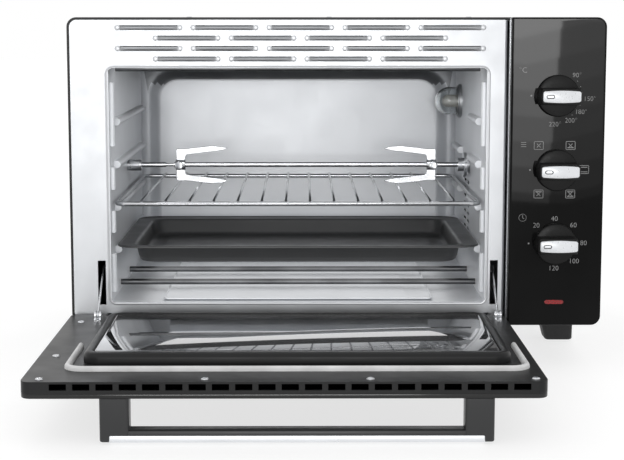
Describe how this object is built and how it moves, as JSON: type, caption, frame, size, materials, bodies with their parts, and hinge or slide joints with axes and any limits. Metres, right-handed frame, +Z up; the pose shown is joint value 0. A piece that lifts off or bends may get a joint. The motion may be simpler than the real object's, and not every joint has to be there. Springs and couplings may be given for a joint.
{
  "type": "rotisserie oven",
  "caption": "Countertop electric oven with a drop-down glass door, wire shelf, baking tray, rotisserie spit with forks and a side control column.",
  "frame": {"origin": "on the ground, at the middle of the footprint that the oven takes up with its door lying open", "axes": "+X to the right seen from the front, +Y from the front to the back, +Z up"},
  "size_m": [0.5002, 0.6334, 0.3288],
  "materials": {
    "black_shell": "black painted sheet steel, satin",
    "black_cover": "black painted sheet steel, matte",
    "stainless": "bright stainless sheet",
    "cavity_metal": "aluminised sheet steel, satin",
    "ceiling_dark": "heat-darkened sheet steel",
    "zinc_plate": "zinc-plated sheet steel",
    "heater_metal": "grey sheathed heating tube",
    "ceramic": "off-white ceramic",
    "clear_glass": "clear glass",
    "lamp_warm": "frosted bulb",
    "motor_metal": "plated motor housing",
    "control_plastic": "thermoset plastic",
    "panel_gloss": "glossy black",
    "red_lens": "translucent red",
    "neon": "neon tube",
    "rubber_black": "black rubber",
    "plastic_black": "black plastic, satin",
    "knob_black": "black plastic, satin",
    "silver_plastic": "silver-white lacquered plastic",
    "door_enamel": "dark grey painted steel, satin",
    "outer_glass": "black printed tempered glass",
    "inner_glass": "clear tempered glass, mirror-like at a low angle",
    "silicone": "light grey silicone",
    "handle_dark": "dark grey, satin",
    "handle_silver": "brushed aluminium facing",
    "steel_pin": "plain steel",
    "chrome_wire": "chrome-plated wire",
    "tray_enamel": "dark grey enamel, satin",
    "spit_steel": "bright steel"
  },
  "bodies": {
    "oven": {"outer_shell": "black_shell", "rear_cover": "black_cover", "base_plate": "zinc_plate", "front_frame": "stainless", "cavity_left_wall": "cavity_metal", "cavity_right_wall": "cavity_metal", "cavity_rear_wall": "cavity_metal", "cavity_ceiling": "ceiling_dark", "cavity_floor": "cavity_metal", "upper_heaters": "heater_metal", "lower_heaters": "heater_metal", "heater_insulators": "ceramic", "lamp_glass": "clear_glass", "lamp_bulb": "lamp_warm", "lamp_holder": "zinc_plate", "heat_shield": "zinc_plate", "spit_motor": "motor_metal", "fan_motor": "motor_metal", "thermostat": "control_plastic", "function_switch": "control_plastic", "timer": "motor_metal", "control_panel": "panel_gloss", "indicator_lens": "red_lens", "indicator_lamp": "neon", "terminal_block": "ceramic", "cord_gland": "plastic_black", "feet": "rubber_black", "hinge_brackets": "steel_pin", "cover_screws": "steel_pin", "spit_support": "steel_pin", "stay_springs": "steel_pin"},
    "door": {"door_frame": "door_enamel", "door_outer_glass": "outer_glass", "door_liner": "door_enamel", "window_frame": "door_enamel", "door_inner_glass": "inner_glass", "door_gasket": "silicone", "door_handle": "handle_dark", "handle_facing": "handle_silver", "door_screws": "steel_pin", "hinge_pins": "steel_pin", "stay_brackets": "steel_pin"},
    "left_stay_arm": {"left_stay": "steel_pin"},
    "right_stay_arm": {"right_stay": "steel_pin"},
    "temperature_control": {"temperature_knob": "knob_black", "temperature_insert": "silver_plastic"},
    "function_control": {"function_knob": "knob_black", "function_insert": "silver_plastic"},
    "timer_control": {"timer_knob": "knob_black", "timer_insert": "silver_plastic"},
    "shelf": {"wire_rack": "chrome_wire"},
    "tray": {"baking_tray": "tray_enamel"},
    "crumb_drawer": {"crumb_tray": "cavity_metal"},
    "spit_drive": {"drive_socket": "steel_pin"},
    "spit": {"spit_rod": "spit_steel"},
    "left_fork_body": {"left_fork": "spit_steel"},
    "left_thumbscrew_body": {"left_thumbscrew": "spit_steel"},
    "right_fork_body": {"right_fork": "spit_steel"},
    "right_thumbscrew_body": {"right_thumbscrew": "spit_steel"},
    "fan": {"fan_wheel": "zinc_plate"}
  },
  "joints": [
    {"name": "door_hinge", "type": "hinge", "parent": "oven", "child": "door", "pos_m": [-0.03475, -0.03925, 0.0445], "axis": [-1, 0, 0], "range_deg": [0, 90], "deforming": ["stay_springs"]},
    {"name": "left_stay_pivot", "type": "hinge", "parent": "door", "child": "left_stay_arm", "pos_m": [-0.21945, -0.06325, 0.0545], "axis": [-1, 0, 0], "range_deg": [-61, 0]},
    {"name": "right_stay_pivot", "type": "hinge", "parent": "door", "child": "right_stay_arm", "pos_m": [0.14995, -0.06325, 0.0545], "axis": [-1, 0, 0], "range_deg": [-61, 0]},
    {"name": "temperature_turn", "type": "hinge", "parent": "oven", "child": "temperature_control", "pos_m": [0.20425, -0.04725, 0.2555], "axis": [0, 1, 0], "range_deg": [0, 270]},
    {"name": "function_turn", "type": "hinge", "parent": "oven", "child": "function_control", "pos_m": [0.20425, -0.04725, 0.187], "axis": [0, 1, 0], "range_deg": [0, 300]},
    {"name": "timer_turn", "type": "hinge", "parent": "oven", "child": "timer_control", "pos_m": [0.20425, -0.04725, 0.1185], "axis": [0, 1, 0], "range_deg": [0, 270]},
    {"name": "shelf_slide", "type": "slide", "parent": "oven", "child": "shelf", "axis": [0, 1, 0], "range_m": [-0.26, 0]},
    {"name": "tray_slide", "type": "slide", "parent": "oven", "child": "tray", "axis": [0, 1, 0], "range_m": [-0.24, 0]},
    {"name": "crumb_tray_slide", "type": "slide", "parent": "oven", "child": "crumb_drawer", "axis": [0, 1, 0], "range_m": [-0.25, 0]},
    {"name": "spit_turn", "type": "hinge", "parent": "oven", "child": "spit_drive", "pos_m": [0.14125, 0.12075, 0.177], "axis": [1, 0, 0], "continuous": true},
    {"name": "spit_pull", "type": "slide", "parent": "spit_drive", "child": "spit", "axis": [1, 0, 0], "range_m": [-0.0095, 0]},
    {"name": "left_fork_slide", "type": "slide", "parent": "spit", "child": "left_fork_body", "axis": [1, 0, 0], "range_m": [0, 0.06]},
    {"name": "right_fork_slide", "type": "slide", "parent": "spit", "child": "right_fork_body", "axis": [-1, 0, 0], "range_m": [0, 0.06]},
    {"name": "left_thumbscrew_turn", "type": "hinge", "parent": "left_fork_body", "child": "left_thumbscrew_body", "pos_m": [-0.15675, 0.12075, 0.177], "axis": [0, -1, 0], "range_deg": [-360, 0]},
    {"name": "right_thumbscrew_turn", "type": "hinge", "parent": "right_fork_body", "child": "right_thumbscrew_body", "pos_m": [0.10325, 0.12075, 0.177], "axis": [0, -1, 0], "range_deg": [-360, 0]},
    {"name": "fan_turn", "type": "hinge", "parent": "oven", "child": "fan", "pos_m": [0.14625, 0.14275, 0.134], "axis": [1, 0, 0], "continuous": true}
  ],
  "couplings": [
    {"joint": "left_stay_pivot", "follows": "door_hinge", "ratio": -0.6667},
    {"joint": "right_stay_pivot", "follows": "door_hinge", "ratio": -0.6667}
  ]
}
